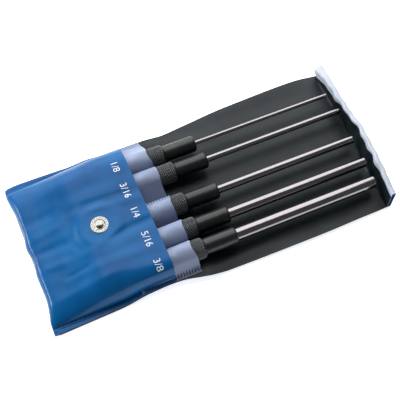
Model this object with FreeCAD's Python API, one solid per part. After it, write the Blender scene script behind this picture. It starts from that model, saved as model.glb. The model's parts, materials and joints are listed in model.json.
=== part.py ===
"""Set of five extra-long drive punches in a snap-closed vinyl pouch.

Millimetres, +Z up.  +Y runs from the pouch's bottom fold to the punch tips, and +X from the
smallest punch to the largest.  The origin is under the middle of the whole set, on the table.
The pouch lies open: its long flap stands up past the tips, turns over and is folded under it.
"""
import FreeCAD, Part
import math
import os

Vec = FreeCAD.Vector
INCH = 25.4
X_AXIS, Y_AXIS, Z_AXIS = Vec(1, 0, 0), Vec(0, 1, 0), Vec(0, 0, 1)
ORIGIN = Vec(0, 0, 0)

# ---------------------------------------------------------------- punches
SIZES = (("1_8", 1 / 8), ("3_16", 3 / 16), ("1_4", 1 / 4), ("5_16", 5 / 16), ("3_8", 3 / 8))
PUNCH_X = (-38.2, -21.0, 6.8, 28.7, 46.7)
SHOULDER_Y = (149.3, 152.0, 149.3, 148.5, 146.9)
BODY_LENGTH = 3.5 * INCH
PIN_LENGTH = 4.5 * INCH
PIN_SOCKET = 0.75 * INCH
SHANK_STEP = 0.3
NOSE_LENGTH = 1.0 * INCH
HEAD_LENGTH = 0.75 * INCH
GRIP_R = 5 / 16 * INCH
NOSE_R = 1 / 4 * INCH
HEAD_R = 7.0
STRUCK_R = 4.8
EDGE = 0.8

# ---------------------------------------------------------------- pouch
POUCH_HALF_WIDTH = 65.0
LINER_HALF_WIDTH = POUCH_HALF_WIDTH + 0.6
COVER_T = 0.7
LINER_T = 0.6
POCKET_T = 0.5
FOLD_T = 1.0
CREASE_Y = 268.0
MOUTH_Y = 94.0
POCKET_Y = (67.5, 113.5)
HINGE_GAP = 0.6

# The snap under the folded flap lifts the middle of the pouch: (y, z) of the cover's underside.
FLAT_Z = COVER_T + 0.2
HUMP_Z = 4.2
COVER_LINE = [(FOLD_T, 0.0), (50.0, 0.0), (72.0, HUMP_Z), (114.0, HUMP_Z), (134.0, FLAT_Z),
              (CREASE_Y - HINGE_GAP, FLAT_Z)]
LINER_TOP = HUMP_Z + COVER_T + LINER_T
PUNCH_Z = LINER_TOP + 0.11 + GRIP_R

# ---------------------------------------------------------------- flap
WALL_LENGTH = 20.0
CREST_LENGTH = 5.8
REST_ANGLES = (86.5, -7.5, -90.0, -180.0)
CLOSED_TILT = 1.15
CLOSED_ANGLES = (90.0, 100.0, 180.0, 180.0 + CLOSED_TILT)
FLAP_HUMP = 2.7
FLAP_END_Y = 70.0
FLAP_END_HALF = 46.0

# ---------------------------------------------------------------- snap
SNAP_X = 4.0
SNAP_Y = 56.9
FLANGE_R, FLANGE_T = 6.7, 0.5
SHANK_R = 2.0
WASHER_R, WASHER_T = 5.5, 0.5
SOCKET_R = 5.75
SOCKET_LIFT = 0.1
SOCKET_H = FLAP_HUMP - SOCKET_LIFT
CAP_R, CAP_T = 6.25, 0.6
POST_R = 1.8
DIMPLES = 16


def prism_yz(points, x0, x1):
    """A profile in the Y-Z plane, extruded from x0 to x1."""
    wire = Part.makePolygon([Vec(x0, y, z) for y, z in points + points[:1]])
    return Part.Face(wire).extrude(Vec(x1 - x0, 0, 0))


def prism_xz(points, y0, y1):
    """A profile in the X-Z plane, extruded from y0 to y1."""
    wire = Part.makePolygon([Vec(x, y0, z) for x, z in points + points[:1]])
    return Part.Face(wire).extrude(Vec(0, y1 - y0, 0))


def prism_xy(points, z0, z1):
    """A profile in the X-Y plane, extruded from z0 to z1."""
    wire = Part.makePolygon([Vec(x, y, z0) for x, y in points + points[:1]])
    return Part.Face(wire).extrude(Vec(0, 0, z1 - z0))


def sheet_yz(line, lift, thickness, x0, x1):
    """A sheet that follows a (y, z) line, its underside raised by lift."""
    low = [(y, z + lift) for y, z in line]
    high = [(y, z + lift + thickness) for y, z in reversed(line)]
    return prism_yz(low + high, x0, x1)


def turned(profile, axis):
    """A solid of revolution from (radius, height) points, about axis through the origin."""
    out = X_AXIS if axis != X_AXIS else Y_AXIS
    points = [out * r + axis * h for r, h in profile]
    return Part.Face(Part.makePolygon(points + points[:1])).revolve(ORIGIN, axis, 360)


def box(x0, x1, y0, y1, z0, z1):
    return Part.makeBox(x1 - x0, y1 - y0, z1 - z0, Vec(x0, y0, z0))


def moved(shape, position, tilt_deg=0.0):
    """The shape turned about X by tilt_deg, then shifted."""
    result = shape.copy()
    result.Placement = FreeCAD.Placement(position, FreeCAD.Rotation(X_AXIS, tilt_deg))
    return result


# ---------------------------------------------------------------- flap chain
def step(start, angle_deg, length):
    """The end of a run in the Y-Z plane."""
    a = math.radians(angle_deg)
    return (start[0] + length * math.cos(a), start[1] + length * math.sin(a))


CREASE = (CREASE_Y, FLAT_Z + COVER_T / 2)
PANEL_MID_Z = COVER_T / 2
REST_1 = step(CREASE, REST_ANGLES[0], WALL_LENGTH)
REST_2 = step(REST_1, REST_ANGLES[1], CREST_LENGTH)
NECK_LENGTH = REST_2[1] - PANEL_MID_Z
REST_3 = (REST_2[0], PANEL_MID_Z)
CLOSED_1 = step(CREASE, CLOSED_ANGLES[0], WALL_LENGTH)
CLOSED_2 = step(CLOSED_1, CLOSED_ANGLES[1], CREST_LENGTH)
CLOSED_3 = step(CLOSED_2, CLOSED_ANGLES[2], NECK_LENGTH)
LENGTH = REST_3[0] + COVER_T / 2
CENTRE_Y = LENGTH / 2


def closed_place(y, z):
    """Where a point of the flap panel at rest (y, z) goes when the flap is closed."""
    t = math.radians(CLOSED_TILT)
    dy, dz = y - REST_3[0], z - REST_3[1]
    return (CLOSED_3[0] + dy * math.cos(t) - dz * math.sin(t),
            CLOSED_3[1] + dy * math.sin(t) + dz * math.cos(t))


def strip(start, angle_deg, length, half_width):
    """One flat stretch of the flap, short of both its creases."""
    flat = box(-half_width, half_width, HINGE_GAP, length - HINGE_GAP, -COVER_T / 2, COVER_T / 2)
    return moved(flat, Vec(0, *start), angle_deg)


def liner_lip():
    """The liner's cut end, which runs a little way up the standing flap."""
    edge = LINER_HALF_WIDTH
    outline = [(-edge, 1.1), (edge, 1.1), (edge, 14.2), (57, 16.2), (48, 18.2), (36, 18.8), (29, 17.4),
               (24, 16.0), (18, 17.4), (10, 18.6), (0, 17.2), (-10, 15.0), (-18, 14.0), (-26, 13.8),
               (-36, 11.0), (-45, 8.5), (-54, 4.8), (-62, 2.0), (-edge, 1.6)]
    lip = prism_xy(outline, COVER_T / 2, COVER_T / 2 + LINER_T - 0.1)
    return moved(lip, Vec(0, *CREASE), REST_ANGLES[0])


def flap_panel():
    """The long part of the flap, folded under the pouch, raised where the snap is."""
    line = [(REST_3[0] - HINGE_GAP, 0.0), (132.0, 0.0), (112.0, FLAP_HUMP), (FLAP_END_Y, FLAP_HUMP)]
    sheet = sheet_yz(line, 0.0, COVER_T, -POUCH_HALF_WIDTH, POUCH_HALF_WIDTH)
    wide, narrow, corner = POUCH_HALF_WIDTH, FLAP_END_HALF, 14.0
    end = FLAP_END_Y
    right = [(wide, LENGTH), (wide, 150.0), (narrow, end + corner), (narrow - 4.0, end + 4.5),
             (narrow - corner, end)]
    left = [(-x, y) for x, y in reversed(right)]
    return sheet.common(prism_xy(right + left, -1.0, 8.0))


# ---------------------------------------------------------------- snap fastener
SOCKET_Y = REST_3[0] - (CLOSED_3[0] - SNAP_Y) / math.cos(math.radians(CLOSED_TILT))
SEAT_DROP = FLANGE_T + 0.1 + SOCKET_H
SEAT_NORMAL = (-math.sin(math.radians(CLOSED_TILT)), math.cos(math.radians(CLOSED_TILT)))
SEAT = tuple(p - SEAT_DROP * n for p, n in zip(closed_place(SOCKET_Y, FLAP_HUMP), SEAT_NORMAL))


def snap_stud():
    """Ring-shaped flange with a bulb in its middle and a shank through the panel."""
    profile = [(0, -1.2), (SHANK_R, -1.2), (SHANK_R, 0), (FLANGE_R - 0.3, 0), (FLANGE_R, 0.2),
               (FLANGE_R - 0.2, FLANGE_T), (4.4, FLANGE_T), (3.9, 0.3), (2.9, 0.3), (2.5, 0.5),
               (2.5, 1.7), (2.78, 2.0), (2.6, 2.4), (1.6, 2.62), (0, 2.65)]
    stud = turned(profile, Z_AXIS)
    for i in range(DIMPLES):
        a = 2 * math.pi * i / DIMPLES
        spot = Vec(5.5 * math.cos(a), 5.5 * math.sin(a), FLANGE_T + 0.25)
        stud = stud.cut(Part.makeSphere(0.5, spot))
    return moved(stud, Vec(SNAP_X, *SEAT), CLOSED_TILT)


def stud_washer():
    ring = turned([(SHANK_R, -COVER_T - 0.02 - WASHER_T), (WASHER_R, -COVER_T - 0.02 - WASHER_T),
                   (WASHER_R, -COVER_T - 0.02), (SHANK_R, -COVER_T - 0.02)], Z_AXIS)
    return moved(ring, Vec(SNAP_X, *SEAT), CLOSED_TILT)


def snap_socket():
    """Ring under the flap: a lip, a groove for the spring and a web that the cap's post holds."""
    web, groove_low, groove_high = SOCKET_H - 0.45, 0.5, 1.15
    profile = [(2.85, 0), (SOCKET_R - 0.4, 0), (SOCKET_R, 0.4), (SOCKET_R, SOCKET_H),
               (POST_R, SOCKET_H), (POST_R, web), (2.95, web), (2.95, groove_high),
               (3.5, groove_high), (3.5, groove_low), (2.85, groove_low)]
    return moved(turned(profile, Z_AXIS), Vec(SNAP_X, SOCKET_Y, SOCKET_LIFT))


def socket_spring():
    ring = Part.makeTorus(2.95, 0.25, ORIGIN, Z_AXIS)
    return moved(ring, Vec(SNAP_X, SOCKET_Y, SOCKET_LIFT + 0.83))


def snap_cap():
    """Shallow domed cap with a post through the flap into the socket."""
    low = -COVER_T - 0.45
    profile = [(0, low), (POST_R, low), (POST_R, 0), (CAP_R - 0.2, 0), (CAP_R, 0.15),
               (CAP_R - 0.6, 0.42), (CAP_R - 2.6, CAP_T), (0, CAP_T)]
    return moved(turned(profile, Z_AXIS), Vec(SNAP_X, SOCKET_Y, FLAP_HUMP + COVER_T))


# ---------------------------------------------------------------- pouch sheets
def front_panel():
    """The cover folded up at the bottom: a bulging front that is welded along both sides."""
    slope = math.tan(math.radians(CLOSED_TILT))
    y_low, y_high = SNAP_Y - 7.4, SNAP_Y + 7.4
    seat_low, seat_high = SEAT[1] + (y_low - SEAT[0]) * slope, SEAT[1] + (y_high - SEAT[0]) * slope
    top = PUNCH_Z + GRIP_R + 0.96 + COVER_T
    floor = [(0, 0), (FOLD_T, 0), (FOLD_T, COVER_T + LINER_T), (50.0, COVER_T + LINER_T),
             (72.0, LINER_TOP), (MOUTH_Y, LINER_TOP)]
    roof = [(MOUTH_Y, top), (y_high + 2.5, top), (y_high, seat_high), (y_low, seat_low),
            (36.0, 16.5), (20.0, 11.5), (6.0, 8.5), (1.2, 6.0), (0, 3.0)]
    t = COVER_T
    inner_roof = [(MOUTH_Y + 1, top - t), (y_high + 2.6, top - t), (y_high + 0.1, seat_high - t),
                  (y_low - 0.3, seat_low - t), (36.4, 16.5 - t), (20.3, 11.5 - t), (6.4, 8.5 - t),
                  (2.0, 6.0 - t), (FOLD_T, 3.0)]
    inner = [(FOLD_T, -1.0), (MOUTH_Y + 1, -1.0)] + inner_roof
    outside = [(-58.0, -2.0), (58.0, -2.0), (58.0, 9.3), (57.7, 15.9), (52.5, 22.8), (47.0, 31.0),
               (-39.0, 31.0), (-44.2, 22.6), (-50.9, 14.3), (-58.0, 3.4)]
    inside = [(-57.2, -3.0), (57.2, -3.0), (57.2, 9.0), (56.9, 15.6), (51.6, 22.4), (46.0, 32.0),
              (-38.0, 32.0), (-43.4, 22.2), (-50.1, 14.0), (-57.2, 3.0)]
    shell = prism_yz(floor + roof, -70, 70).common(prism_xz(outside, -1, MOUTH_Y + 2))
    hollow = prism_yz(inner, -70, 70).common(prism_xz(inside, FOLD_T, MOUTH_Y + 2))
    panel = shell.cut(hollow)
    under = [(FOLD_T, 0.0), (50.0, 0.0), (72.0, HUMP_Z), (MOUTH_Y, HUMP_Z)]
    for side in (-1, 1):
        x0, x1 = sorted((side * 57.5, side * POUCH_HALF_WIDTH))
        weld = sheet_yz(under, COVER_T + LINER_T, COVER_T, x0, x1)
        panel = panel.fuse([weld, box(x0, x1, 0, FOLD_T, 0, 2 * COVER_T + LINER_T)])
    hole = moved(Part.makeCylinder(SHANK_R, 6, Vec(0, 0, -3), Z_AXIS), Vec(SNAP_X, *SEAT), CLOSED_TILT)
    return panel.cut(hole).removeSplitter()


def pocket_band():
    """One strip of vinyl, arched over the five punches and welded down between them."""
    y0, y1 = POCKET_Y
    inner_r = GRIP_R + 0.26
    outer_r = inner_r + POCKET_T
    strip_down = box(-52.0, 57.0, y0, y1, LINER_TOP, LINER_TOP + POCKET_T)
    arches, rooms = [], []
    for x in PUNCH_X:
        for r, low, group in ((outer_r, LINER_TOP, arches), (inner_r, LINER_TOP - 1, rooms)):
            group.append(Part.makeCylinder(r, y1 - y0, Vec(x, y0, PUNCH_Z), Y_AXIS))
            group.append(box(x - r, x + r, y0, y1, low, PUNCH_Z))
    return strip_down.fuse(arches).cut(Part.makeCompound(rooms)).removeSplitter()


# ---------------------------------------------------------------- punches
def punch_body(pin_r, x, shoulder_y):
    """Struck head, knurled grip and plain nose, bored for the pin."""
    grip_end = BODY_LENGTH - NOSE_LENGTH
    profile = [(0, 0), (STRUCK_R - EDGE, 0), (STRUCK_R, EDGE), (HEAD_R, 8.0),
               (HEAD_R, HEAD_LENGTH - 1.0), (GRIP_R, HEAD_LENGTH), (GRIP_R, grip_end - EDGE),
               (NOSE_R + 0.4, grip_end), (NOSE_R, grip_end + EDGE), (NOSE_R, BODY_LENGTH - EDGE),
               (NOSE_R - EDGE, BODY_LENGTH), (pin_r - SHANK_STEP, BODY_LENGTH),
               (pin_r - SHANK_STEP, BODY_LENGTH - PIN_SOCKET), (0, BODY_LENGTH - PIN_SOCKET)]
    return moved(turned(profile, Y_AXIS), Vec(x, shoulder_y - BODY_LENGTH, PUNCH_Z))


def punch_pin(pin_r, x, shoulder_y):
    """Ground pin with a thinner shank pressed into the body, its driving end lightly chamfered."""
    chamfer = 0.12 * pin_r + 0.15
    shank_r = pin_r - SHANK_STEP
    profile = [(0, -PIN_SOCKET), (shank_r, -PIN_SOCKET), (shank_r, 0), (pin_r, 0),
               (pin_r, PIN_LENGTH - chamfer), (pin_r - chamfer, PIN_LENGTH), (0, PIN_LENGTH)]
    return moved(turned(profile, Y_AXIS), Vec(x, shoulder_y, PUNCH_Z))


def build():
    cover = sheet_yz(COVER_LINE, 0, COVER_T, -POUCH_HALF_WIDTH, POUCH_HALF_WIDTH)
    liner = sheet_yz(COVER_LINE, COVER_T, LINER_T, -LINER_HALF_WIDTH, LINER_HALF_WIDTH)
    shank_room = Part.makeCylinder(POST_R, 6, Vec(SNAP_X, SOCKET_Y, 0), Z_AXIS)
    nodes = {
        "cover_back": cover,
        "liner": liner,
        "front_panel": front_panel(),
        "pocket_band": pocket_band(),
        "snap_stud": snap_stud(),
        "stud_washer": stud_washer(),
        "flap_wall": strip(CREASE, REST_ANGLES[0], WALL_LENGTH, POUCH_HALF_WIDTH),
        "liner_lip": liner_lip(),
        "flap_crest": strip(REST_1, REST_ANGLES[1], CREST_LENGTH, POUCH_HALF_WIDTH),
        "flap_neck": strip(REST_2, REST_ANGLES[2], NECK_LENGTH, POUCH_HALF_WIDTH),
        "flap_panel": flap_panel().cut(shank_room),
        "snap_socket": snap_socket(),
        "socket_spring": socket_spring(),
        "snap_cap": snap_cap(),
    }
    for (name, inches), x, shoulder_y in zip(SIZES, PUNCH_X, SHOULDER_Y):
        pin_r = inches * INCH / 2
        nodes["punch_" + name + "_body"] = punch_body(pin_r, x, shoulder_y)
        nodes["punch_" + name + "_pin"] = punch_pin(pin_r, x, shoulder_y)
    return nodes


os.makedirs("parts", exist_ok=True)
for node, shape in build().items():
    shape.translate(Vec(0, -CENTRE_Y, 0))
    shape.exportStep("parts/" + node + ".step")
    print(node, len(shape.Solids), shape.isValid(), round(shape.Volume, 1))
for label, point in (("crease", CREASE), ("crest", REST_1), ("neck", REST_2), ("panel", REST_3)):
    print(label, round(point[0] - CENTRE_Y, 4), round(point[1], 4))
print("seat", SEAT, "socket y", SOCKET_Y, "centre", CENTRE_Y, "neck length", NECK_LENGTH)
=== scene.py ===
"""Five extra-long drive punches in an open vinyl snap pouch: the looks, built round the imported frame.

Lengths are millimetres until at() turns them into the frame's metres.  x runs from the smallest
punch to the largest, v from the pouch's bottom fold to the punch tips, and z is up from the table.
"""
import json
import math

import bpy
import numpy as np
from mathutils import Matrix, Vector


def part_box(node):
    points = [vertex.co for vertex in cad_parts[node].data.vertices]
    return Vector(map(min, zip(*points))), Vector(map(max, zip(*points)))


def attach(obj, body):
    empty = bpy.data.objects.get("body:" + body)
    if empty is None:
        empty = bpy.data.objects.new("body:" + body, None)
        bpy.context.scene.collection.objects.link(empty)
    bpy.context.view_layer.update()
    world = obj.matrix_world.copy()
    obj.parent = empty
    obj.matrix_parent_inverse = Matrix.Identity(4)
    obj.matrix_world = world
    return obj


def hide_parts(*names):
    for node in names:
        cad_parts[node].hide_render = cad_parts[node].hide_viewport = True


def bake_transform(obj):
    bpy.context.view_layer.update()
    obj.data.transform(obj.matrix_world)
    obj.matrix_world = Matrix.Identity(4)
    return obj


MM = 0.001
INCH = 25.4
SIZES = ("1_8", "3_16", "1_4", "5_16", "3_8")

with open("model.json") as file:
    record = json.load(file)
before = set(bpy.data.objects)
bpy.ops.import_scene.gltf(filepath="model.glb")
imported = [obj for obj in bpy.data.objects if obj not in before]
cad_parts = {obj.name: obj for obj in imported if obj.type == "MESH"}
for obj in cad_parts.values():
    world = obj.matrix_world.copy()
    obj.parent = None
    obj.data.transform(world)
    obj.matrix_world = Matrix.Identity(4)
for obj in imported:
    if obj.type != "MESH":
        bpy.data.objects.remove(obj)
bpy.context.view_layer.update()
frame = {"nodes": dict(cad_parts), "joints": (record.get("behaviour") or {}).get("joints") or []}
FOLD_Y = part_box("front_panel")[0][1]


# ---------------------------------------------------------------- places, read from the frame
def low(node):
    """A node's lowest corner as (x, v, z)."""
    x, y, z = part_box(node)[0]
    return x / MM, (y - FOLD_Y) / MM, z / MM


def high(node):
    """A node's highest corner as (x, v, z)."""
    x, y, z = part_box(node)[1]
    return x / MM, (y - FOLD_Y) / MM, z / MM


def at(x, v, z):
    """A point in the frame's metres."""
    return x * MM, FOLD_Y + v * MM, z * MM


def pivot(joint):
    """A fold's (v, z)."""
    place = next(j["pos_m"] for j in frame["joints"] if j["name"] == joint)
    return (place[1] - FOLD_Y) / MM, place[2] / MM


HALF = high("cover_back")[0]
COVER_T, LINER_T, POCKET_T = 0.7, 0.6, 0.5
LINER_OVERHANG = 0.6
MOUTH_V = high("front_panel")[1]
POCKET_V = (low("pocket_band")[1], high("pocket_band")[1])
CREASE, PANEL = pivot("wall_fold"), pivot("panel_fold")
GRIP_R = (high("punch_1_8_body")[0] - low("punch_1_8_body")[0]) / 2
PUNCH_X = {s: (low(f"punch_{s}_body")[0] + high(f"punch_{s}_body")[0]) / 2 for s in SIZES}
PUNCH_Z = (low("punch_1_8_body")[2] + high("punch_1_8_body")[2]) / 2
STUD_X = (low("snap_stud")[0] + high("snap_stud")[0]) / 2
STUD_V = (low("snap_stud")[1] + high("snap_stud")[1]) / 2


# ---------------------------------------------------------------- curves and small shape helpers
def flow(t, knots):
    """A smooth curve through (t, value) knots, with slopes that never overshoot."""
    kt, kv = np.array(knots, float).T
    t = np.clip(np.asarray(t, float), kt[0], kt[-1])
    slope = np.diff(kv) / np.diff(kt)
    same = slope[:-1] * slope[1:] > 0
    inner = np.where(same, 2 * slope[:-1] * slope[1:] / (slope[:-1] + slope[1:] + 1e-12), 0)
    m = np.concatenate([slope[:1], inner, slope[-1:]])
    i = np.clip(np.searchsorted(kt, t, side="right") - 1, 0, len(kt) - 2)
    h = kt[i + 1] - kt[i]
    s = (t - kt[i]) / h
    return ((1 + 2 * s) * (1 - s) ** 2 * kv[i] + s * (1 - s) ** 2 * h * m[i]
            + s * s * (3 - 2 * s) * kv[i + 1] + s * s * (s - 1) * h * m[i + 1])


def fade(t, start, end):
    """0 before start, 1 after end, smooth between; start may be the larger."""
    s = np.clip((np.asarray(t, float) - start) / (end - start), 0, 1)
    return s * s * (3 - 2 * s)


def waves(x, v, *terms):
    """A sum of slow sine waves; each term is (height, x wavelength, v wavelength, phase)."""
    total = np.zeros(np.broadcast(x, v).shape)
    for height, wx, wv, phase in terms:
        total = total + height * np.sin(2 * np.pi * (x / wx + v / wv) + phase)
    return total


def ridge(x, v, start, end, width, height):
    """A soft raised line from start to end that dies away at both ends; negative height is a dent."""
    start, end = np.array(start, float), np.array(end, float)
    run = end - start
    length = np.hypot(*run)
    along = ((x - start[0]) * run[0] + (v - start[1]) * run[1]) / length
    across = ((x - start[0]) * run[1] - (v - start[1]) * run[0]) / length
    ends = fade(along, -0.15 * length, 0.3 * length) * fade(along, 1.15 * length, 0.7 * length)
    return height * ends * np.exp(-(across / width) ** 2)


def spread(x, v):
    """Moves the outer strip of every pouch sheet to the pouch's own slightly uneven edge."""
    far = flow(v, [(0, 62.5), (12, 64), (47, 63.4), (92, 60.4), (121, 60.6), (150, 62.5), (185, 65.2),
                   (250, 66.8), (268, 64.8)])
    near = flow(v, [(0, 64), (60, 62), (90, 60.6), (98, 61), (122, 65.3), (205, 66.4), (268, 64.8)])
    strip = 9
    hold = HALF - strip
    edge = np.where(x < 0, far, near)
    return np.where(np.abs(x) > hold, np.sign(x) * (hold + (np.abs(x) - hold) * (edge - hold) / strip), x)


def askew(x, v):
    """The pouch's far end is creased slightly askew, so points near it shift along the pouch."""
    shift = flow(x, [(-66, 1.7), (-30, 1.6), (0, 0.4), (20, -1.3), (66, -3.0)])
    return v + shift * fade(v, CREASE[0] - 70, CREASE[0])


def cover_line(v):
    """Height of the cover's underside: it is lifted in the middle by the snap folded beneath it."""
    return flow(v, [(0, 0), (50, 0), (72, 4.2), (114, 4.2), (134, 0.9), (CREASE[0], 0.9)])


# ---------------------------------------------------------------- meshes
def new_object(name, verts, faces, materials, indices=None, sharp_deg=50):
    """A smooth-shaded mesh object from points in the frame's metres."""
    mesh = bpy.data.meshes.new(name)
    mesh.from_pydata([tuple(p) for p in verts], [], faces)
    for m in materials:
        mesh.materials.append(m)
    if indices is not None:
        mesh.polygons.foreach_set("material_index", indices)
    mesh.polygons.foreach_set("use_smooth", [True] * len(mesh.polygons))
    mesh.set_sharp_from_angle(angle=math.radians(sharp_deg))
    mesh.update()
    obj = bpy.data.objects.new(name, mesh)
    bpy.context.scene.collection.objects.link(obj)
    return obj


def to_frame(points):
    """An array of (x, v, z) millimetres as frame metres."""
    return points.reshape(-1, 3) * MM + np.array([0, FOLD_Y, 0])


def closed_sheet(name, face, thickness, materials):
    """A closed sheet behind a (rows, columns, 3) grid of its outer face.

    Rows run along +x.  The materials are those of the outer face, the inner face and the cut edge.
    """
    rows, columns = face.shape[:2]
    normal = np.cross(np.gradient(face, axis=0), np.gradient(face, axis=1))
    normal /= np.linalg.norm(normal, axis=2, keepdims=True) + 1e-12
    verts = np.concatenate([to_frame(face), to_frame(face - normal * thickness)])
    index = np.arange(rows * columns).reshape(rows, columns)
    back = index + rows * columns
    a, b, c, d = index[:-1, :-1], index[1:, :-1], index[1:, 1:], index[:-1, 1:]
    front_faces = np.stack([a, b, c, d], -1).reshape(-1, 4)
    back_faces = front_faces[:, ::-1] + rows * columns
    ring = np.concatenate([index[:, 0], index[-1, 1:], index[-2::-1, -1], index[0, -2:0:-1]])
    behind = np.concatenate([back[:, 0], back[-1, 1:], back[-2::-1, -1], back[0, -2:0:-1]])
    rim = np.stack([ring, behind, np.roll(behind, -1), np.roll(ring, -1)], -1)
    faces = np.concatenate([front_faces, back_faces, rim])
    which = [0] * len(front_faces) + [1] * len(back_faces) + [2] * len(rim)
    return new_object(name, verts, faces.tolist(), materials, which)


def lathe(name, profile, centre, segments, materials):
    """A solid turned about +Y from (v, radius) points that start and end on the axis."""
    x, v, z = centre
    angle = 2 * np.pi * np.arange(segments) / segments
    inner = np.array(profile[1:-1], float)
    verts = np.zeros((len(inner), segments, 3))
    verts[..., 0] = x + inner[:, 1:] * np.sin(angle)
    verts[..., 1] = v + inner[:, :1]
    verts[..., 2] = z + inner[:, 1:] * np.cos(angle)
    return close_turned(name, verts, (x, v + profile[0][0], z), (x, v + profile[-1][0], z), materials)


def close_turned(name, rings, first_pole, last_pole, materials):
    """A closed mesh from rings of points and a pole at each end."""
    count, segments = rings.shape[:2]
    verts = to_frame(np.concatenate([rings.reshape(-1, 3), [first_pole, last_pole]]))
    index = np.arange(count * segments).reshape(count, segments)
    turn = np.roll(index, -1, axis=1)
    sides = np.stack([index[:-1], index[1:], turn[1:], turn[:-1]], -1).reshape(-1, 4).tolist()
    pole_a, pole_b = count * segments, count * segments + 1
    sides += [[pole_a, i, j] for i, j in zip(index[0].tolist(), turn[0].tolist())]
    sides += [[pole_b, j, i] for i, j in zip(index[-1].tolist(), turn[-1].tolist())]
    return new_object(name, verts, sides, materials, sharp_deg=28)


# ---------------------------------------------------------------- materials
def material(name, **sockets):
    """A Principled material; returns it with its node tree and shader."""
    m = bpy.data.materials.new(name)
    m.use_nodes = True
    shader = m.node_tree.nodes["Principled BSDF"]
    for socket, value in sockets.items():
        shader.inputs[socket.replace("_", " ")].default_value = value
    return m, m.node_tree, shader


def linear(red, green, blue):
    """An sRGB colour of 0 to 255 as linear RGBA."""
    def one(c):
        c = c / 255
        return c / 12.92 if c <= 0.04045 else ((c + 0.055) / 1.055) ** 2.4
    return one(red), one(green), one(blue), 1.0


def noise(tree, scale, detail=3.0, stretch=(1, 1, 1), distortion=0.0):
    """Noise in object space, which is the frame's metres; stretch above 1 squeezes it."""
    place = tree.nodes.new("ShaderNodeTexCoord")
    mapping = tree.nodes.new("ShaderNodeMapping")
    mapping.inputs["Scale"].default_value = stretch
    texture = tree.nodes.new("ShaderNodeTexNoise")
    texture.inputs["Scale"].default_value = scale
    texture.inputs["Detail"].default_value = detail
    texture.inputs["Distortion"].default_value = distortion
    tree.links.new(place.outputs["Object"], mapping.inputs["Vector"])
    tree.links.new(mapping.outputs["Vector"], texture.inputs["Vector"])
    return texture.outputs["Fac"]


def blended(tree, factor, points):
    """A colour ramp over factor, from (position, colour) points."""
    ramp = tree.nodes.new("ShaderNodeValToRGB")
    while len(ramp.color_ramp.elements) < len(points):
        ramp.color_ramp.elements.new(0.5)
    for element, (position, colour) in zip(ramp.color_ramp.elements, points):
        element.position = position
        element.color = colour
    tree.links.new(factor, ramp.inputs["Fac"])
    return ramp.outputs["Color"]


def ranged(tree, factor, low_value, high_value):
    """Maps a 0 to 1 factor to a range of numbers."""
    node = tree.nodes.new("ShaderNodeMapRange")
    node.inputs["To Min"].default_value = low_value
    node.inputs["To Max"].default_value = high_value
    tree.links.new(factor, node.inputs["Value"])
    return node.outputs["Result"]


def bump(tree, shader, height, distance, strength=1.0):
    """Adds a bump of the given depth in millimetres, after any that the shader already has."""
    node = tree.nodes.new("ShaderNodeBump")
    node.inputs["Distance"].default_value = distance * MM
    node.inputs["Strength"].default_value = strength
    tree.links.new(height, node.inputs["Height"])
    if shader.inputs["Normal"].is_linked:
        tree.links.new(shader.inputs["Normal"].links[0].from_socket, node.inputs["Normal"])
    tree.links.new(node.outputs["Normal"], shader.inputs["Normal"])


def vinyl(name, dark, light, roughness, coat=0.0, grain=0.03, gloss=0.5):
    """Sheet vinyl: cloudy colour, a fine pressed grain and patches that are rubbed shinier."""
    m, tree, shader = material(name, Coat_Weight=coat, Coat_Roughness=0.2, Specular_IOR_Level=gloss)
    cloud = noise(tree, 35, 4, distortion=0.4)
    tree.links.new(blended(tree, cloud, [(0.32, dark), (0.68, light)]), shader.inputs["Base Color"])
    tree.links.new(ranged(tree, noise(tree, 60, 2), roughness * 0.86, roughness * 1.14),
                   shader.inputs["Roughness"])
    bump(tree, shader, noise(tree, 240, 3), 0.25 * grain / 0.03, 0.18)
    bump(tree, shader, noise(tree, 2600, 2), grain, 0.5)
    return m


BLUE = vinyl("blue_vinyl", linear(2, 74, 130), linear(10, 92, 150), 0.3, coat=0.14, gloss=0.1)
# Painted reflection: this pale lavender-white stands for softbox glare on the blue vinyl. It shows on the
# curled flap end, gives the pocket mouths' cut edge a painted highlight, and also colours the pouch's inside
# faces.
PALE_GLARE = vinyl("pale_vinyl", linear(180, 187, 202), linear(200, 206, 218), 0.5, gloss=0.3)
GREY = vinyl("grey_vinyl", linear(120, 132, 160), linear(136, 148, 176), 0.5, grain=0.05, gloss=0.3)
BLACK = vinyl("black_vinyl", linear(14, 23, 27), linear(24, 35, 39), 0.4, grain=0.05, gloss=0.26)
# Painted shade: a darker copy of the grey for the grooves of the welds' serration.
WELD_GROOVE_SHADE = vinyl("weld_painted_groove_shade", linear(58, 68, 96), linear(74, 84, 112), 0.4)
CORE = vinyl("vinyl_cut_edge", linear(60, 96, 140), linear(90, 122, 160), 0.6)


def black_oxide(name, tone, roughness):
    """Blackened steel: nearly black, satin, with faint turning marks round the axis."""
    m, tree, shader = material(name, Metallic=0.25, Specular_IOR_Level=0.6)
    patches = noise(tree, 90, 4, distortion=0.6)
    tree.links.new(blended(tree, patches, [(0.3, linear(tone - 4, tone, tone + 1)),
                                            (0.7, linear(tone + 10, tone + 14, tone + 15))]),
                   shader.inputs["Base Color"])
    tree.links.new(ranged(tree, noise(tree, 260, 3), *roughness), shader.inputs["Roughness"])
    bump(tree, shader, noise(tree, 300, 2, (0.05, 14, 0.05)), 0.01, 0.4)
    return m


def ground_steel():
    """Ground steel: bright, with fine grinding rings round the pin."""
    m, tree, shader = material("ground_steel", Metallic=1.0)
    rings = noise(tree, 420, 4, (0.04, 16, 0.04))
    tree.links.new(blended(tree, rings, [(0.25, linear(128, 124, 126)), (0.75, linear(148, 143, 145))]),
                   shader.inputs["Base Color"])
    tree.links.new(ranged(tree, rings, 0.13, 0.2), shader.inputs["Roughness"])
    bump(tree, shader, rings, 0.001, 0.2)
    return m


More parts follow.
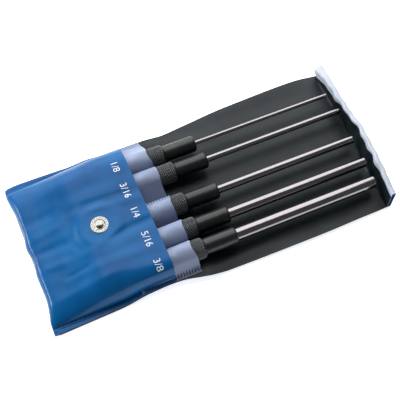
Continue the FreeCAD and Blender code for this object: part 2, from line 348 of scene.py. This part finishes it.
def plated(name, colour, roughness):
    """Nickel plate with slight handling wear."""
    m, tree, shader = material(name, Metallic=1.0)
    tone = noise(tree, 700, 4)
    worn = tuple(0.82 * c for c in colour[:3]) + (1.0,)
    tree.links.new(blended(tree, tone, [(0.3, worn), (0.6, colour)]), shader.inputs["Base Color"])
    tree.links.new(ranged(tree, noise(tree, 1200, 3), roughness * 0.7, roughness * 1.5),
                   shader.inputs["Roughness"])
    bump(tree, shader, noise(tree, 1800, 2), 0.006, 0.3)
    return m


def ink():
    """Pale printed ink, a little worn."""
    m, tree, shader = material("size_ink", Roughness=0.45)
    wear = noise(tree, 1500, 3)
    tree.links.new(blended(tree, wear, [(0.3, linear(196, 205, 222)), (0.6, linear(232, 236, 244))]),
                   shader.inputs["Base Color"])
    return m


BLACK_OXIDE = black_oxide("black_oxide", 19, (0.3, 0.42))
# Partly wear, partly painted highlight: the paler tone on the knurl's tips stands for bare steel rubbed
# through the oxide and for the glints on the diamond peaks.
WORN_GLINT_OXIDE = black_oxide("black_oxide_worn_and_glint", 122, (0.2, 0.32))
GROUND_STEEL = ground_steel()
NICKEL = plated("nickel", linear(150, 148, 143), 0.16)
WIRE = plated("spring_wire", linear(130, 129, 126), 0.3)
INK = ink()


# ---------------------------------------------------------------- pouch: back cover and liner
def even(start, end, pitch):
    """Evenly spaced values from start to end, about pitch apart."""
    return np.linspace(start, end, max(2, round((end - start) / pitch) + 1))


FLAT_END = CREASE[0] - 5.0
TAIL_V = CREASE[0] - 4.0
COVER_START, LINER_START = 2.5, 3.0


def settle(x, v):
    """How far the free part of the pouch lifts off its even line: slow waves and curling edges."""
    free = fade(v, 112, 150) * fade(v, FLAT_END + 3, FLAT_END - 25)
    swell = waves(x, v, (0.12, 83, 210, 0.4), (0.07, -47, 96, 2.1)) + 0.2
    curl = 1.0 * fade(np.abs(x), HALF - 12, HALF) * fade(v, 130, 190) * fade(v, FLAT_END, 235)
    return free * swell + curl


def pouch_grid(v_values, pitch_x):
    """Matching (x, v) grids whose rows run across the pouch."""
    return np.meshgrid(even(-HALF, HALF, pitch_x), v_values, indexing="ij")


def back_cover():
    """The cover behind the liner, blue outside; its inside has the pale colour that is painted softbox
    glare.
    """
    x, v = pouch_grid(even(COVER_START, FLAT_END, 2.2), 2.6)
    z = cover_line(v) + COVER_T + settle(x, v)
    tuck = 1 - 0.014 * fade(v, MOUTH_V - 2, MOUTH_V + 4)
    face = np.stack([spread(x, v) * tuck, askew(x, v), z], -1)
    cover = closed_sheet("pouch_cover", face, COVER_T, [PALE_GLARE, BLUE, CORE])
    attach(cover, "pouch")
    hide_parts("cover_back")
    return cover


def flap_corners(rows):
    """The flap's path as (v, z) corners for each row: crease, both sides of the crest, the turn under."""
    level = np.zeros_like(rows)
    uneven = waves(rows, 0, (0.25, 33, np.inf, 0.8), (0.15, 17, np.inf, 2.0))
    turn_v = flow(rows, [(-66, 5.0), (-57, 4.7), (-40, 3.9), (-22, 3.4), (6, 5.1), (27, 4.0), (48, 2.4),
                         (66, 0.8)])
    ripple = waves(rows, 0, (0.5, 13, np.inf, 0.3), (0.35, 22, np.inf, 1.1)) * fade(np.abs(rows), 60, 48)
    turn_z = flow(rows, [(-66, 15.6), (-40, 18.6), (0, 20.6), (30, 20.6), (66, 18.6)]) + uneven
    depth = flow(rows, [(-66, 7.0), (-56, 5.0), (-40, 3.8), (0, 3.2), (66, 3.2)])
    rise = flow(rows, [(-66, -3.4), (-54, -0.8), (-38, 0.3), (66, 0.6)])
    under_v = flow(rows, [(-66, 4.4), (0, 4.0), (45, 1.8), (66, -0.4)])
    crease = np.stack([askew(rows, CREASE[0]), level + CREASE[1]], -1)
    top = np.stack([CREASE[0] + turn_v - depth + ripple, turn_z + rise], -1)
    turn = np.stack([CREASE[0] + turn_v + 0.4 * ripple, turn_z], -1)
    under = np.stack([CREASE[0] + under_v, level + PANEL[1]], -1)
    return crease, top, turn, under


def lip_share(x):
    """How far up the standing flap the liner's roughly cut end reaches, as a share of its height."""
    return flow(x, [(-66, 0.0), (-62, 0.1), (-57, 0.37), (-50, 0.58), (-43, 0.62), (-36, 0.6), (-29, 0.76),
                    (-22, 0.94), (-15, 1.0), (6, 1.0), (13, 0.94), (20, 0.88), (27, 0.98), (34, 0.86),
                    (41, 0.88), (48, 0.95), (55, 0.93), (66, 0.86)])


def standing_liner(rows):
    """The liner's part that stands against the flap's wall, as (x, v, z) for each row."""
    foot, shortest, below_top = 1.3, 0.2, 3.2
    crease, top, _, _ = flap_corners(rows)
    wall = top - crease
    height = np.linalg.norm(wall, axis=1, keepdims=True)
    wall = wall / height
    inward = np.stack([-wall[:, 1], wall[:, 0]], -1) * (COVER_T / 2 + LINER_T + 0.08)
    share = np.linspace(0, 1, 18)[1:]
    run = foot + (shortest + (height - below_top) * lip_share(rows)[:, None]) * share
    upright = crease[:, None] + inward[:, None] + wall[:, None] * run[..., None]
    x = spread(rows, np.full_like(rows, CREASE[0])) * (1 + LINER_OVERHANG / HALF)
    return np.concatenate([np.repeat(x[:, None, None], len(share), 1), upright], -1)


def liner_sheet():
    """The black liner: flat under the pins, creased, then up the standing flap to a wavy cut."""
    x, v = pouch_grid(even(LINER_START, CREASE[0] - 1.6, 1.5), 1.7)
    flat = np.stack([spread(x, v) * (1 + LINER_OVERHANG / HALF), askew(x, v),
                     cover_line(v) + COVER_T + LINER_T + 0.03 + settle(x, v) + liner_relief(x, v)], -1)
    face = np.concatenate([flat, standing_liner(x[:, 0])], axis=1)
    liner = closed_sheet("liner_sheet", face, LINER_T, [BLACK, BLACK, BLACK])
    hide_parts("liner", "liner_lip")
    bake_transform(liner)
    return liner


def liner_relief(x, v):
    """Small shapes in the liner: the pressed crease line and tension folds beside the channels."""
    bead = 0.4 * np.exp(-((v - (CREASE[0] - 2.2)) / 0.7) ** 2)
    folds = ridge(x, v, (-56, 112), (-42, 175), 5, 0.7) + ridge(x, v, (61, 112), (56, 180), 4, 0.6)
    return bead + folds


# ---------------------------------------------------------------- pouch: front panel
def roof(v):
    """Height of the front panel's outer face over the punches, from the fold to the mouth."""
    return flow(v, [(0, 6.6), (6, 8.8), (20, 12.4), (36, 17.2), (47, 20.7), (56.9, 22.32), (66, 23.0),
                    (94, 23.3)])


def panel_relief(x, v):
    """Dents between the punches, tension folds that fan out of the fold, and the ring round the snap."""
    folds = (ridge(x, v, (-11.5, 47), (-4, 98), 3.4, 0.5) + ridge(x, v, (-17, 38), (-12, 98), 4.0, -0.9)
             + ridge(x, v, (-39, 24), (-33, 80), 6.0, 0.5) + ridge(x, v, (-29, 40), (-29, 98), 4.5, -0.35)
             + ridge(x, v, (18, 54), (14, 100), 4.2, -1.3) + ridge(x, v, (21, 28), (17, 92), 3.6, 0.5)
             + ridge(x, v, (29.5, 42), (28, 94), 4.4, -0.5) + ridge(x, v, (32, 18), (37, 92), 4.0, 0.5)
             + ridge(x, v, (31, 20), (30, 42), 2.4, -0.55) + ridge(x, v, (3, 4), (5, 36), 3.6, -0.7)
             + ridge(x, v, (-24, 3), (-22, 34), 4.2, -0.6) + ridge(x, v, (-9, 2), (-11, 34), 3.6, 0.5)
             + ridge(x, v, (16, 3), (19, 28), 3.4, 0.5) + ridge(x, v, (44, 4), (42, 66), 4.0, 0.4))
    away = np.hypot(x - STUD_X, (v - STUD_V) / 1.25)
    pull = 0.28 * np.exp(-((away - 12.5) / 2.6) ** 2) - 0.2 * np.exp(-((away - 18.0) / 3.0) ** 2)
    return folds * fade(away, 8.0, 16.0) + pull


def weld_relief(x, v, inset, pitch):
    """A welded line near both side edges, pressed down in short bars."""
    bars = 0.5 + 0.5 * np.sin(2 * np.pi * v / pitch)
    line = np.exp(-((np.abs(x) - (HALF - inset)) / 0.55) ** 2)
    return -0.32 * line * (0.35 + 0.65 * fade(bars, 0.3, 0.7))


def front_face(x, v):
    """Height of the front panel's outer face anywhere past the rolled fold."""
    near_weld, far_weld, far_power = HALF - 5.6, 6.0 - HALF, 1.9
    flange = cover_line(v) + 2 * COVER_T + LINER_T
    near_start = flow(v, [(0, 43), (55, 43), (94, 46.5)])
    far_start = flow(v, [(0, -37), (94, -39)])
    near = np.clip((x - near_start) / (near_weld - near_start), 0, 1)
    far = np.clip((far_start - x) / (far_start - far_weld), 0, 1)
    near_power = flow(v, [(0, 1.7), (50, 2.0), (75, 2.6), (94, 2.7)])
    side = (1 - near ** near_power) ** (1 / near_power) * (1 - far ** far_power) ** (1 / far_power)
    body = (roof(v) - flange + panel_relief(x, v)) * side
    return flange + body + weld_relief(x, v, 3.4, 2.0)


def fold_swell(x):
    """The rolled fold is uneven: it bulges between its puckers."""
    return waves(x, 0, (0.55, 37, np.inf, 0.2), (0.45, 21, np.inf, 1.9), (0.25, 11.5, np.inf, 0.7))


def fold_start(x):
    """Where the outer face of the fold lies furthest back."""
    return flow(x, [(-66, 1.2), (-56, 0.2), (-36, 3.0), (-22, 3.6), (-8, 1.2), (4, 3.3), (17, 1.6),
                    (36, 2.2), (48, 0.2), (55, -1.8), (66, -2.0)])


def panel_x():
    """Row positions across the panel, closer together near the welds and steep flanks."""
    inner, edge = HALF - 10, HALF - 5.5
    left = np.concatenate([even(-HALF, -edge, 0.24), even(-edge, -inner, 0.5)[1:-1]])
    return np.concatenate([left, even(-inner, inner, 0.8), -left[::-1]])


def rolled_fold(rows, join_v, steps):
    """The puffy bottom fold, as one curve for each row, from under the pouch up to the front face."""
    top = front_face(rows, np.full_like(rows, join_v))
    rise = (front_face(rows, np.full_like(rows, join_v + 0.5)) - top) / 0.5
    back_v = fold_start(rows)
    swell = 0.15 * fold_swell(rows) * fade(np.abs(rows), HALF - 4, HALF - 14)
    start = np.stack([np.full_like(rows, 3.2), np.zeros_like(rows)], -1)[:, None]
    belly = np.stack([back_v - 0.6, np.full_like(rows, -0.1)], -1)[:, None]
    shoulder = np.stack([back_v - 0.5 - swell, top - rise * 4.5], -1)[:, None]
    end = np.stack([np.full_like(rows, join_v), top], -1)[:, None]
    t = np.linspace(0, 1, steps)[None, :-1, None]
    curve = ((1 - t) ** 3 * start + 3 * t * (1 - t) ** 2 * belly + 3 * t * t * (1 - t) * shoulder
             + t ** 3 * end)
    x = spread(rows, np.full_like(rows, 3.0))
    return np.concatenate([np.repeat(x[:, None, None], steps - 1, 1), curve], -1)


def front_panel():
    """The cover folded up at the bottom: a puffy rolled fold, a bulging front and welded sides."""
    rows, join_v = panel_x(), 6.0
    x, v = np.meshgrid(rows, even(join_v, MOUTH_V, 0.5), indexing="ij")
    front = np.stack([spread(x, v), v, front_face(x, v)], -1)
    face = np.concatenate([rolled_fold(rows, join_v, 15), front], axis=1)
    panel = closed_sheet("front_panel_sheet", face, COVER_T, [BLUE, PALE_GLARE, CORE])
    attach(panel, "pouch")
    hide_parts("front_panel")
    return panel


# ---------------------------------------------------------------- pouch: channels
WELD_PITCH = 2.2


def channel_feet():
    """(x, z) of the weld line on each side of every channel."""
    centres = [PUNCH_X[s] for s in SIZES]
    floor = cover_line(100.0) + COVER_T + LINER_T + POCKET_T
    feet = [(-58.0, floor)]
    for a, b in zip(centres, centres[1:]):
        gap = (b - a) / 2 - GRIP_R - 0.7
        if gap > 2.5:
            feet.append((b - GRIP_R - 1.0, floor))
        else:
            rise = flow(gap, [(-0.2, 3.6), (0.4, -3.0), (2.6, floor - PUNCH_Z)])
            feet.append(((a + b) / 2, PUNCH_Z + rise))
    feet.append((58.2, floor))
    return centres, feet


def channel_section():
    """Points (x, z) across all five channels: each runs up from its weld, over its punch and down."""
    reach = GRIP_R + 0.66
    centres, feet = channel_feet()
    points = [(-61.0, feet[0][1])]
    for x, foot_a, foot_b in zip(centres, feet, feet[1:]):
        bounds = []
        for foot, side in ((foot_a, -1), (foot_b, 1)):
            dx, dz = foot[0] - x, foot[1] - PUNCH_Z
            distance = max(math.hypot(dx, dz), reach + 0.01)
            bounds.append(math.atan2(side * dx, dz) - math.acos(reach / distance))
        turn = np.linspace(-bounds[0], bounds[1], 21)
        points.append(foot_a)
        points += [(x + reach * math.sin(a), PUNCH_Z + reach * math.cos(a)) for a in turn]
    points += [feet[-1], (60.6, feet[-1][1])]
    points = np.array(points)
    run = np.concatenate([[0], np.cumsum(np.hypot(*np.diff(points, axis=0).T))])
    even_run = even(0, run[-1], 0.55)
    return np.interp(even_run, run, points[:, 0]), np.interp(even_run, run, points[:, 1])


def shade_weld_grooves(pocket, lines):
    """The welds that show past the panel are pressed down in a row of dark bars, which are painted shade in
    the grooves.
    """
    centres = np.array([f.center for f in pocket.data.polygons]) / MM
    index = np.array([f.material_index for f in pocket.data.polygons])
    v = centres[:, 1] - FOLD_Y / MM
    bars = (np.sin(2 * np.pi * v / WELD_PITCH) < -0.1) & (v > MOUTH_V)
    for line in lines:
        # Painted shade: the faces in each groove of the serration take the dark colour.
        index[bars & (np.abs(centres[:, 0] - line - 0.3) < 1.5) & (index == 0)] = 3
    pocket.data.polygons.foreach_set("material_index", index)


def mouth_line(x):
    """The channel strip's cut edge, which bows forward over each punch."""
    return flow(x, [(-62, 110.6), (-46, 111.6), (-38, 110.6), (-31, 112.4), (-21, 112.6), (-12, 112.2),
                    (-2, 113.4), (7, 112.0), (15, 112.8), (19, 114.0), (29, 112.2), (37, 112.8), (47, 111.4),
                    (55, 113.4), (62, 114.6)])


def pocket_sheet():
    """One grey strip, arched over the five punches and welded down between them."""
    sx, sz = channel_section()
    along = even(0, 1, 0.008)
    x = np.repeat(sx[:, None], len(along), 1)
    v = POCKET_V[0] + (mouth_line(x) - POCKET_V[0]) * along
    floor = cover_line(100.0) + COVER_T + LINER_T + POCKET_T
    height = (sz[:, None] - floor) / (PUNCH_Z + GRIP_R - floor)
    z = sz[:, None] + 0.12 * waves(x, v, (1, 17, 29, 0.5), (0.6, 9, -21, 1.1)) * np.clip(height, 0, 1)
    welds = [f[0] for f in channel_feet()[1] if f[1] < floor + 0.1]
    shown = fade(v, MOUTH_V, MOUTH_V + 1.5)
    bars = 0.5 + 0.5 * np.sin(2 * np.pi * v / WELD_PITCH)
    for line in (welds[0], welds[1], welds[-1]):
        z = z + 0.7 * np.exp(-((x - line - 0.4) / 1.4) ** 2) * fade(bars, 0.3, 0.7) * shown
    rough = np.exp(-(((x - PUNCH_X["1_4"] + 2) / 5.5) ** 2 + ((v - 99.5) / 5.5) ** 2))
    z = z + 0.2 * rough * np.sin(x * 3.9 + 2 * np.sin(v * 1.3)) * np.sin(v * 3.3 + 2 * np.sin(x * 1.7))
    face = np.stack([x, v, z], -1)
    # The pale cut edge is a painted highlight along the pocket mouths.
    pocket = closed_sheet("pocket_sheet", face, POCKET_T, [GREY, GREY, PALE_GLARE, WELD_GROOVE_SHADE])
    shade_weld_grooves(pocket, (PUNCH_X["1_4"] - 6.0, welds[-1]))
    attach(pocket, "pouch")
    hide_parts("pocket_band")
    return pocket


# ---------------------------------------------------------------- flap
def bent_round(a, corner, b, reach, count):
    """Rows of points from a to b that turn smoothly at corner, starting reach before it."""
    def towards(end):
        run = end - corner
        return corner + run / np.linalg.norm(run, axis=1, keepdims=True) * reach
    p, q = towards(a), towards(b)
    t = np.linspace(0, 1, count)[None, :, None]
    first = a[:, None] * (1 - t) + p[:, None] * t
    last = q[:, None] * (1 - t) + b[:, None] * t
    arc = (1 - t) ** 2 * p[:, None] + 2 * t * (1 - t) * corner[:, None] + t * t * q[:, None]
    return np.concatenate([first[:, :-1], arc, last[:, 1:]], axis=1)


def flap_strips():
    """The standing loop of the flap as four strips, each bending at one crease."""
    rows = even(-HALF, HALF, 1.6)
    crease, top, turn, under = flap_corners(rows)
    flat = np.stack([askew(rows, FLAT_END), np.full_like(rows, CREASE[1])], -1)
    tail = np.stack([np.full_like(rows, TAIL_V), np.full_like(rows, PANEL[1])], -1)
    wall_mid, crest_mid, neck_mid = (crease + top) / 2, (top + turn) / 2, (turn + under) / 2
    plan = (
        ("flap_crease_strip", "pouch", "flap_wall", flat, crease, wall_mid, 1.2, None),
        ("flap_wall_strip", "flap_wall", "flap_crest", wall_mid, top, crest_mid, 1.4, "flap_wall"),
        ("flap_crest_strip", "flap_crest", "flap_neck", crest_mid, turn, neck_mid, 1.4, "flap_crest"),
        ("flap_neck_strip", "flap_neck", "flap_panel", neck_mid, under, tail, 1.2, "flap_neck"),
    )
    strips = []
    for name, body_a, body_b, a, corner, b, reach, node in plan:
        path = bent_round(a, corner, b, reach, 12)
        x = spread(np.repeat(rows[:, None], path.shape[1], 1), np.full(path.shape[:2], CREASE[0]))
        centre = np.concatenate([x[..., None], path], -1)
        normal = np.cross(np.gradient(centre, axis=0), np.gradient(centre, axis=1))
        normal /= np.linalg.norm(normal, axis=2, keepdims=True)
        # The loop's outer face is pale: painted softbox glare on the curled flap end.
        strip = closed_sheet(name, centre + normal * COVER_T / 2, COVER_T, [PALE_GLARE, BLUE, CORE])
        if node:
            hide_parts(node)
        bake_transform(strip)
        strips.append(strip)
    return strips


def flap_panel():
    """The long part of the flap, folded under the pouch, with rounded corners and a hump for the snap."""
    end_v = low("flap_panel")[1]
    u, v = np.meshgrid(np.linspace(-1, 1, 81), even(end_v, TAIL_V, 2.0), indexing="ij")
    half = flow(v, [(end_v, 30.0), (end_v + 1.4, 36.5), (end_v + 5, 42.5), (end_v + 14, 46.0), (150, 57.0),
                    (190, 62.0), (PANEL[0], 63.5)])
    hump = high("flap_panel")[2] - COVER_T
    line = flow(v, [(end_v, hump), (112, hump), (132, 0.0), (PANEL[0], 0.0)])
    face = np.stack([u * half, v, line], -1)[:, ::-1]
    sheet = closed_sheet("flap_panel_sheet", face, COVER_T, [PALE_GLARE, BLUE, CORE])
    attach(sheet, "flap_panel")
    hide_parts("flap_panel")
    return sheet


# ---------------------------------------------------------------- size marks
def size_mark(size, x, v):
    """The punch size in thin pale ink, lying on the panel's own surface."""
    curve = bpy.data.curves.new("mark_" + size, "FONT")
    curve.body = size.replace("_", "/")
    curve.size = 7.4
    curve.align_x = "CENTER"
    curve.align_y = "CENTER"
    text = bpy.data.objects.new("mark_source_" + size, curve)
    bpy.context.scene.collection.objects.link(text)
    bpy.context.view_layer.update()
    mesh = bpy.data.meshes.new_from_object(text.evaluated_get(bpy.context.evaluated_depsgraph_get()))
    bpy.data.objects.remove(text)
    points = np.array([p.co for p in mesh.vertices])
    px, pv = x + points[:, 0], v + points[:, 1]
    surface = front_face(px, pv)
    flat = np.stack([spread(px, pv), pv, surface + 0.1], -1)
    mesh.vertices.foreach_set("co", to_frame(flat).ravel())
    mesh.materials.append(INK)
    mesh.name = "size_mark_" + size
    mark = bpy.data.objects.new("size_mark_" + size, mesh)
    bpy.context.scene.collection.objects.link(mark)
    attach(mark, "pouch")
    return mark


# ---------------------------------------------------------------- punches
KNURLS_ROUND = 28
KNURL_DEPTH = 0.45
KNURL_STEPS = 6


def punch_body(size):
    """Blackened body: struck head, diamond knurled grip and plain nose."""
    node = f"punch_{size}_body"
    x, start = PUNCH_X[size], low(node)[1]
    length = high(node)[1] - start
    nose_r, head_r, struck_r, edge = INCH / 4, 7.0, 4.8, 0.8
    grip_end = length - INCH
    pitch = 2 * np.pi * GRIP_R / KNURLS_ROUND
    knurl = np.arange(20.2, grip_end - 1.6, pitch / KNURL_STEPS)
    before = [(0.0, struck_r - edge), (0.25, struck_r - 0.25), (edge, struck_r), (8.0, head_r),
              (18.0, head_r), (18.3, head_r), (19.0, GRIP_R - 0.3), (19.6, GRIP_R - 0.3)]
    after = [(grip_end - 1.1, GRIP_R - 0.3), (grip_end - 0.6, GRIP_R - 0.45),
             (grip_end - 0.1, nose_r + 0.35), (grip_end + 0.3, nose_r),
             (grip_end + 1.0, nose_r), (length - 1.3, nose_r),
             (length - 1.0, nose_r - 0.12), (length - 0.25, nose_r - 0.72), (length, nose_r - 0.9)]
    segments = KNURL_STEPS * KNURLS_ROUND
    angle = 2 * np.pi * np.arange(segments) / segments
    radii = [np.full(segments, r) for _, r in before]
    radii += [knurl_radius(angle, v / pitch) for v in knurl]
    radii += [np.full(segments, r) for _, r in after]
    places = np.array([v for v, _ in before] + list(knurl) + [v for v, _ in after])
    radii = np.array(radii)
    rings = np.stack([x + radii * np.sin(angle), start + places[:, None] + 0 * radii,
                      PUNCH_Z + radii * np.cos(angle)], -1)
    body = close_turned(f"punch_body_{size}", rings, (x, start, PUNCH_Z), (x, start + length, PUNCH_Z),
                        [BLACK_OXIDE, WORN_GLINT_OXIDE])
    paint_tip_wear_and_glints(body, start)
    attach(body, "punch_" + size)
    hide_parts(node)
    return body


def paint_tip_wear_and_glints(body, start):
    """The knurl's tips are rubbed paler than the rest; the paler colour is also a painted highlight on the
    diamond peaks.
    """
    faces = body.data.polygons
    centres = np.array([f.center for f in faces]) / MM
    axis_x = (centres[:, 0].max() + centres[:, 0].min()) / 2
    radius = np.hypot(centres[:, 0] - axis_x, centres[:, 2] - PUNCH_Z)
    along = centres[:, 1] - FOLD_Y / MM - start
    tips = (along > 20) & (radius > GRIP_R - 0.16)
    faces.foreach_set("material_index", tips.astype(int))


def knurl_radius(angle, along):
    """Two crossing sets of grooves leave raised diamonds."""
    turn = angle * KNURLS_ROUND / (2 * np.pi)
    tooth = 1.0
    for phase in (turn + along, turn - along):
        tooth = np.minimum(tooth, 1 - np.abs(2 * (phase % 1) - 1))
    return GRIP_R - KNURL_DEPTH + KNURL_DEPTH * np.minimum(1.4 * tooth, 1)


def punch_pin(size):
    """Ground pin with a fine rounded chamfer at its driving end."""
    node = f"punch_{size}_pin"
    radius = (high(node)[0] - low(node)[0]) / 2
    start = high(f"punch_{size}_body")[1]
    tip = high(node)[1] - start
    chamfer = 0.12 * radius + 0.15
    profile = [(-1.0, 0), (-1.0, radius - 0.3), (-0.05, radius - 0.3), (0.0, radius - 0.1), (0.15, radius),
               (tip - chamfer - 0.1, radius), (tip - 0.82 * chamfer, radius - 0.12 * chamfer),
               (tip - 0.12 * chamfer, radius - 0.82 * chamfer), (tip, radius - 1.1 * chamfer), (tip, 0)]
    pin = lathe(f"punch_pin_{size}", profile, (PUNCH_X[size], start, PUNCH_Z), 72, [GROUND_STEEL])
    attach(pin, "punch_" + size)
    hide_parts(node)
    return pin


# ---------------------------------------------------------------- stage
def floor():
    """A plain pale table top."""
    m, tree, shader = material("pale_floor", Roughness=0.9, Specular_IOR_Level=0.1,
                               Emission_Color=(1, 1, 1, 1), Emission_Strength=0.8)
    cloud = noise(tree, 3, 2)
    tree.links.new(blended(tree, cloud, [(0.3, (0.93, 0.93, 0.935, 1)), (0.7, (0.95, 0.95, 0.952, 1))]),
                   shader.inputs["Base Color"])
    half = 4.0
    corners = [(-half, -half, 0), (half, -half, 0), (half, half, 0), (-half, half, 0)]
    new_object("floor", corners, [(0, 1, 2, 3)], [m])


def softbox(name, direction, distance, width, height, power, colour=(1, 1, 1)):
    """A rectangular light that faces the middle of the object."""
    light = bpy.data.lights.new(name, "AREA")
    light.shape = "RECTANGLE"
    light.size = width
    light.size_y = height
    light.energy = power
    light.color = colour
    obj = bpy.data.objects.new(name, light)
    place = Vector(direction).normalized() * distance
    obj.location = place
    obj.rotation_euler = (-place).to_track_quat("-Z", "Y").to_euler()
    bpy.context.scene.collection.objects.link(obj)


def lights():
    """One very broad key over the small punches' side, a small glint for the fold, and little fill."""
    softbox("key", (-0.72, 0.15, 0.72), 1.5, 2.2, 2.2, 46)
    softbox("fold_glint", (-0.44, -0.8, 0.4), 1.2, 0.35, 0.15, 9)
    world = bpy.data.worlds.new("studio")
    world.use_nodes = True
    background = world.node_tree.nodes["Background"]
    background.inputs["Color"].default_value = (0.93, 0.96, 1.0, 1)
    background.inputs["Strength"].default_value = 0.15
    bpy.context.scene.world = world


def camera():
    """The viewing angle: from the near side, above, with the tips to the upper right."""
    azimuth, elevation, roll = map(math.radians, (67.539, 61.414, -0.711))
    forward = Vector((-math.sin(azimuth) * math.cos(elevation), math.cos(azimuth) * math.cos(elevation),
                      -math.sin(elevation)))
    right = Vector((math.cos(azimuth), math.sin(azimuth), 0))
    up = right.cross(forward)
    right, up = (right * math.cos(roll) + up * math.sin(roll),
                 up * math.cos(roll) - right * math.sin(roll))
    data = bpy.data.cameras.new("camera")
    data.sensor_width = 36.0
    data.lens = 82.2
    obj = bpy.data.objects.new("camera", data)
    rotation = Matrix((right, up, -forward)).transposed()
    obj.matrix_world = Matrix.Translation(at(311.8, 8.93, 613.6)) @ rotation.to_4x4()
    bpy.context.scene.collection.objects.link(obj)
    bpy.context.scene.camera = obj


# ---------------------------------------------------------------- putting it together
MARK_X = {"1_8": -37.0, "3_16": -15.0, "1_4": 4.7, "5_16": 28.6, "3_8": 50.5}
MARK_V = 84.2


def coat(node, finish):
    """Gives a node that is kept from the CAD its finish."""
    materials = frame["nodes"][node].data.materials
    materials.clear()
    materials.append(finish)


back_cover()
liner_sheet()
pocket_sheet()
front_panel()
flap_strips()
flap_panel()
for size_name in SIZES:
    punch_body(size_name)
    punch_pin(size_name)
for size_name in SIZES:
    size_mark(size_name, MARK_X[size_name], MARK_V)
for part in ("snap_stud", "stud_washer", "snap_socket", "snap_cap"):
    coat(part, NICKEL)
coat("socket_spring", WIRE)
floor()
lights()
camera()
bpy.context.scene.view_settings.view_transform = "Standard"
